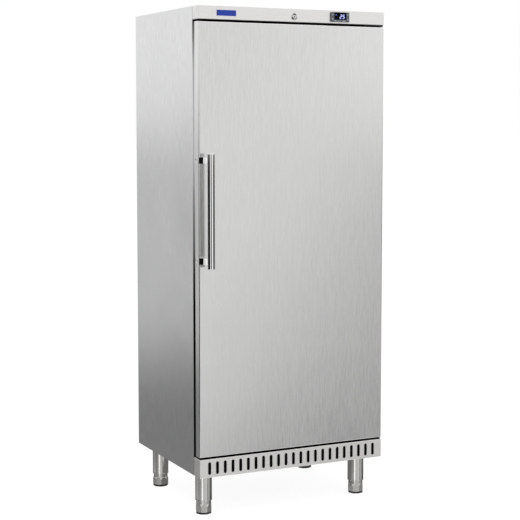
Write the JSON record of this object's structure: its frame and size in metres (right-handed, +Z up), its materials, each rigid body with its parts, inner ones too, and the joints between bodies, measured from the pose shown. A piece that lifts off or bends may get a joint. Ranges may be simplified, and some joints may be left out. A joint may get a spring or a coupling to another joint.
{
  "type": "commercial refrigerator",
  "caption": "Upright stainless commercial refrigerator with one solid right-hung door, bar handle, cam lock, digital thermostat, slotted base grille and adjustable round legs.",
  "frame": {"origin": "on the floor, under the middle of the overall box", "axes": "+Z up, +X to the right as seen from the front, +Y to the back, so the door faces -Y"},
  "size_m": [0.777, 0.695, 1.895],
  "materials": {
    "brushed_stainless": "satin",
    "leg_stainless": "satin",
    "polished_steel": "polished",
    "zinc_steel": "satin",
    "white_liner": "satin",
    "foam": "matte",
    "coated_wire": "satin",
    "black_plastic": "matte",
    "grey_plastic": "satin",
    "key_plastic": "satin",
    "window": "gloss",
    "lamp_diffuser": "satin",
    "name_plate": "gloss",
    "gasket_rubber": "matte",
    "nylon": "satin",
    "coil_aluminium": "satin",
    "black_enamel": "gloss",
    "copper": "satin"
  },
  "bodies": {
    "cabinet": {"side_panel_left": "brushed_stainless", "side_panel_right": "brushed_stainless", "top_panel": "brushed_stainless", "control_fascia": "brushed_stainless", "front_grille": "brushed_stainless", "front_frame": "brushed_stainless", "leg_tubes": "leg_stainless", "lock_housing": "polished_steel", "back_panel": "zinc_steel", "base_plate": "zinc_steel", "compartment_shroud": "zinc_steel", "rear_cover": "zinc_steel", "cabinet_screws": "zinc_steel", "condenser_fan_shroud": "zinc_steel", "evaporator_fan_guard": "zinc_steel", "inner_liner": "white_liner", "evaporator_cover": "white_liner", "insulation_foam": "foam", "wire_shelf_1": "coated_wire", "wire_shelf_2": "coated_wire", "wire_shelf_3": "coated_wire", "wire_shelf_4": "coated_wire", "shelf_pilasters": "coated_wire", "shelf_clips": "coated_wire", "compressor_terminal_cover": "black_plastic", "cord_gland": "black_plastic", "evaporation_tray": "black_plastic", "thermostat_body": "grey_plastic", "thermostat_window": "window", "interior_lamp": "lamp_diffuser", "blank_nameplate": "name_plate", "compressor_mounts": "gasket_rubber", "evaporator_coil": "coil_aluminium", "condenser_coil": "coil_aluminium", "compressor": "black_enamel", "condenser_fan_motor": "black_enamel", "evaporator_fan_motor": "black_enamel", "hinge_bracket_top": "black_enamel", "hinge_bracket_bottom": "black_enamel", "refrigerant_pipes": "copper"},
    "door": {"door_skin": "brushed_stainless", "door_liner": "white_liner", "door_foam": "foam", "door_gasket": "gasket_rubber", "hinge_bushes": "nylon", "handle_bar": "polished_steel", "handle_posts": "polished_steel", "handle_shoes": "black_plastic", "handle_screws": "polished_steel"},
    "lock": {"lock_cylinder": "polished_steel"},
    "evaporator_fan": {"evaporator_fan_blade": "black_plastic"},
    "condenser_fan": {"condenser_fan_blade": "black_plastic"},
    "key_up_button": {"key_up": "key_plastic"},
    "key_down_button": {"key_down": "key_plastic"},
    "key_set_button": {"key_set": "key_plastic"},
    "key_light_button": {"key_light": "key_plastic"},
    "adjustable_foot_front_left": {"foot_front_left": "leg_stainless"},
    "adjustable_foot_front_right": {"foot_front_right": "leg_stainless"},
    "adjustable_foot_rear_left": {"foot_rear_left": "leg_stainless"},
    "adjustable_foot_rear_right": {"foot_rear_right": "leg_stainless"}
  },
  "joints": [
    {"name": "door_swing", "type": "hinge", "parent": "cabinet", "child": "door", "pos_m": [0.3745, -0.2645, 1.037], "axis": [0, 0, 1], "range_deg": [0, 110], "stiffness_Nm_per_rad": 2.5, "springref_deg": -5.73},
    {"name": "lock_turn", "type": "hinge", "parent": "cabinet", "child": "lock", "pos_m": [0, -0.275, 1.865], "axis": [0, 1, 0], "range_deg": [0, 90]},
    {"name": "evaporator_fan_spin", "type": "hinge", "parent": "cabinet", "child": "evaporator_fan", "pos_m": [0, -0.049, 1.715], "axis": [0, 1, 0], "continuous": true},
    {"name": "condenser_fan_spin", "type": "hinge", "parent": "cabinet", "child": "condenser_fan", "pos_m": [0.17, 0.239, 0.276], "axis": [0, 1, 0], "continuous": true},
    {"name": "key_up_press", "type": "slide", "parent": "cabinet", "child": "key_up_button", "axis": [0, 1, 0], "range_m": [0, 0.0008], "stiffness_N_per_m": 800},
    {"name": "key_down_press", "type": "slide", "parent": "cabinet", "child": "key_down_button", "axis": [0, 1, 0], "range_m": [0, 0.0008], "stiffness_N_per_m": 800},
    {"name": "key_set_press", "type": "slide", "parent": "cabinet", "child": "key_set_button", "axis": [0, 1, 0], "range_m": [0, 0.0008], "stiffness_N_per_m": 800},
    {"name": "key_light_press", "type": "slide", "parent": "cabinet", "child": "key_light_button", "axis": [0, 1, 0], "range_m": [0, 0.0008], "stiffness_N_per_m": 800},
    {"name": "foot_front_left_height", "type": "slide", "parent": "cabinet", "child": "adjustable_foot_front_left", "axis": [0, 0, 1], "range_m": [-0.03, 0.012]},
    {"name": "foot_front_right_height", "type": "slide", "parent": "cabinet", "child": "adjustable_foot_front_right", "axis": [0, 0, 1], "range_m": [-0.03, 0.012]},
    {"name": "foot_rear_left_height", "type": "slide", "parent": "cabinet", "child": "adjustable_foot_rear_left", "axis": [0, 0, 1], "range_m": [-0.03, 0.012]},
    {"name": "foot_rear_right_height", "type": "slide", "parent": "cabinet", "child": "adjustable_foot_rear_right", "axis": [0, 0, 1], "range_m": [-0.03, 0.012]}
  ]
}
